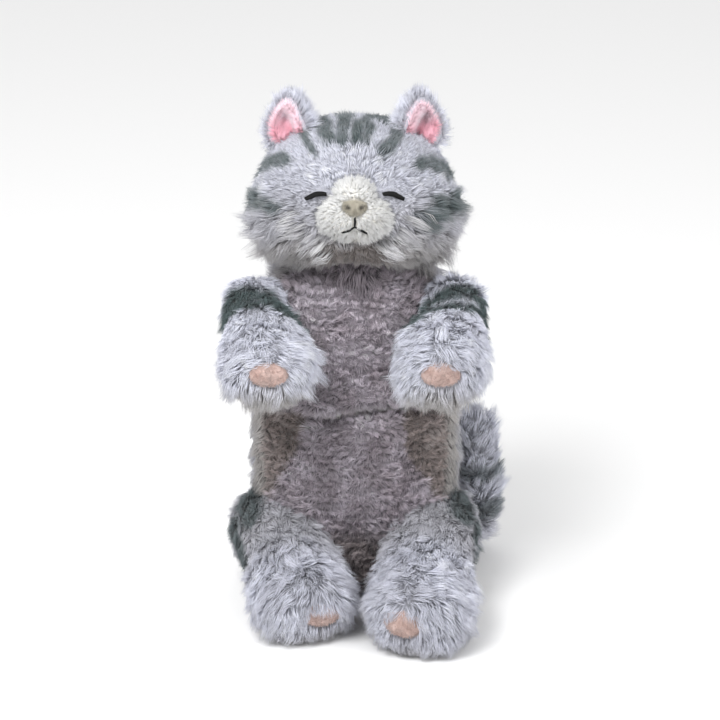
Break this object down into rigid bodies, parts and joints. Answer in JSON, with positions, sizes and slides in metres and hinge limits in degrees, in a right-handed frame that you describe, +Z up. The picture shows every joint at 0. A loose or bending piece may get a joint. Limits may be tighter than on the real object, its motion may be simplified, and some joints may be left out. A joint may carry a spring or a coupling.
{
  "type": "plush cat",
  "caption": "Soft toy cat sitting upright, with long banded fur, closed stitched eyes, a pale muzzle, pink ears and pads; head, arms, legs and tail move.",
  "frame": {"origin": "on the ground, at the middle of the flat seat face", "axes": "+Z up, -Y the way the cat faces, +X the cat's left"},
  "size_m": [0.16, 0.1873, 0.3068],
  "materials": {
    "lavender_pile": "long soft plush pile, pale lavender with dark tabby marks",
    "grey_pile": "long soft plush pile, grey lavender",
    "belly_pile": "short mottled plush pile, mauve taupe",
    "cream_pile": "short cream plush pile",
    "nose_plush": "short beige velvet",
    "black_thread": "satin embroidery thread",
    "pink_lining": "short pink plush",
    "pad_cloth": "brushed peach pink cloth",
    "wadding": "loose polyester fibre",
    "pouch_cloth": "plain woven cotton"
  },
  "bodies": {
    "body": {"belly_panel": "belly_pile", "back_panel": "grey_pile", "seat_panel": "grey_pile", "body_stuffing": "wadding", "pellet_pouch": "pouch_cloth"},
    "neck": {"neck_filling": "wadding"},
    "head": {"face_panel": "lavender_pile", "head_back_panel": "lavender_pile", "head_stuffing": "wadding", "muzzle": "cream_pile", "nose": "nose_plush", "mouth_stitching": "black_thread", "eye_left": "black_thread", "ear_outer_left": "lavender_pile", "ear_lining_left": "pink_lining", "eye_right": "black_thread", "ear_outer_right": "lavender_pile", "ear_lining_right": "pink_lining"},
    "arm_left": {"arm_cover_left": "lavender_pile", "arm_stuffing_left": "wadding", "arm_pad_left": "pad_cloth"},
    "leg_left": {"leg_cover_left": "lavender_pile", "leg_stuffing_left": "wadding", "leg_pad_left": "pad_cloth"},
    "arm_right": {"arm_cover_right": "lavender_pile", "arm_stuffing_right": "wadding", "arm_pad_right": "pad_cloth"},
    "leg_right": {"leg_cover_right": "lavender_pile", "leg_stuffing_right": "wadding", "leg_pad_right": "pad_cloth"},
    "tail": {"tail_cover": "grey_pile", "tail_stuffing": "wadding"}
  },
  "joints": [
    {"name": "head_nod", "type": "hinge", "parent": "body", "child": "neck", "pos_m": [0, -0.008, 0.204], "axis": [1, 0, 0], "range_deg": [-10, 12]},
    {"name": "head_turn", "type": "hinge", "parent": "neck", "child": "head", "pos_m": [0, -0.008, 0.204], "axis": [0, 0, 1], "range_deg": [-40, 40]},
    {"name": "arm_lift_left", "type": "hinge", "parent": "body", "child": "arm_left", "pos_m": [0.057, -0.028, 0.182], "axis": [-1, 0, 0], "range_deg": [-7, 38]},
    {"name": "arm_lift_right", "type": "hinge", "parent": "body", "child": "arm_right", "pos_m": [-0.057, -0.028, 0.182], "axis": [-1, 0, 0], "range_deg": [-7, 38]},
    {"name": "leg_splay_left", "type": "hinge", "parent": "body", "child": "leg_left", "pos_m": [0.046, -0.012, 0.038], "axis": [0, 0, 1], "range_deg": [0, 32]},
    {"name": "leg_splay_right", "type": "hinge", "parent": "body", "child": "leg_right", "pos_m": [-0.046, -0.012, 0.038], "axis": [0, 0, -1], "range_deg": [0, 32]},
    {"name": "tail_wag", "type": "hinge", "parent": "body", "child": "tail", "pos_m": [0.024, 0.042, 0.026], "axis": [0, 0, 1], "range_deg": [-5, 25]}
  ]
}
